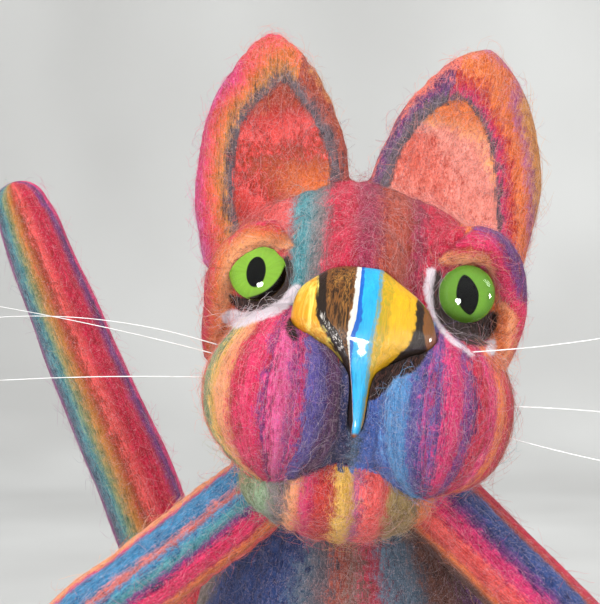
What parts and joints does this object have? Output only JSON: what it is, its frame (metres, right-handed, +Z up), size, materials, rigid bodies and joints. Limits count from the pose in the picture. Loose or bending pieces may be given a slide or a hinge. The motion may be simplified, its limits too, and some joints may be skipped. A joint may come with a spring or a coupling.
{
  "type": "felted wool cat figure",
  "caption": "Seated cat of needle-felted wool in coloured stripes, with domed glass eyes, a painted wooden nose, nylon whiskers, wide-set arms on the ground and a raised tail.",
  "frame": {"origin": "middle of the flat seat that the cat sits on, at the level of the ground", "axes": "+Z up, -Y the way the face looks, +X the viewer's right from the front"},
  "size_m": [0.2084, 0.1767, 0.229],
  "materials": {
    "wool": "needle-felted wool roving in many dyed colours, with a fine loose halo of fibres",
    "eye_glass": "polished glass dome over a green painted iris with a dark slit pupil",
    "nose_lacquer": "carved wood, painted in stripes and thickly lacquered",
    "whisker_nylon": "clear nylon thread"
  },
  "bodies": {
    "root": {"felt_cat": "wool", "eye_left": "eye_glass", "eye_right": "eye_glass", "nose": "nose_lacquer", "whisker_left_top": "whisker_nylon", "whisker_left_middle": "whisker_nylon", "whisker_left_low": "whisker_nylon", "whisker_right_top": "whisker_nylon", "whisker_right_middle": "whisker_nylon", "whisker_right_low": "whisker_nylon"}
  },
  "joints": []
}
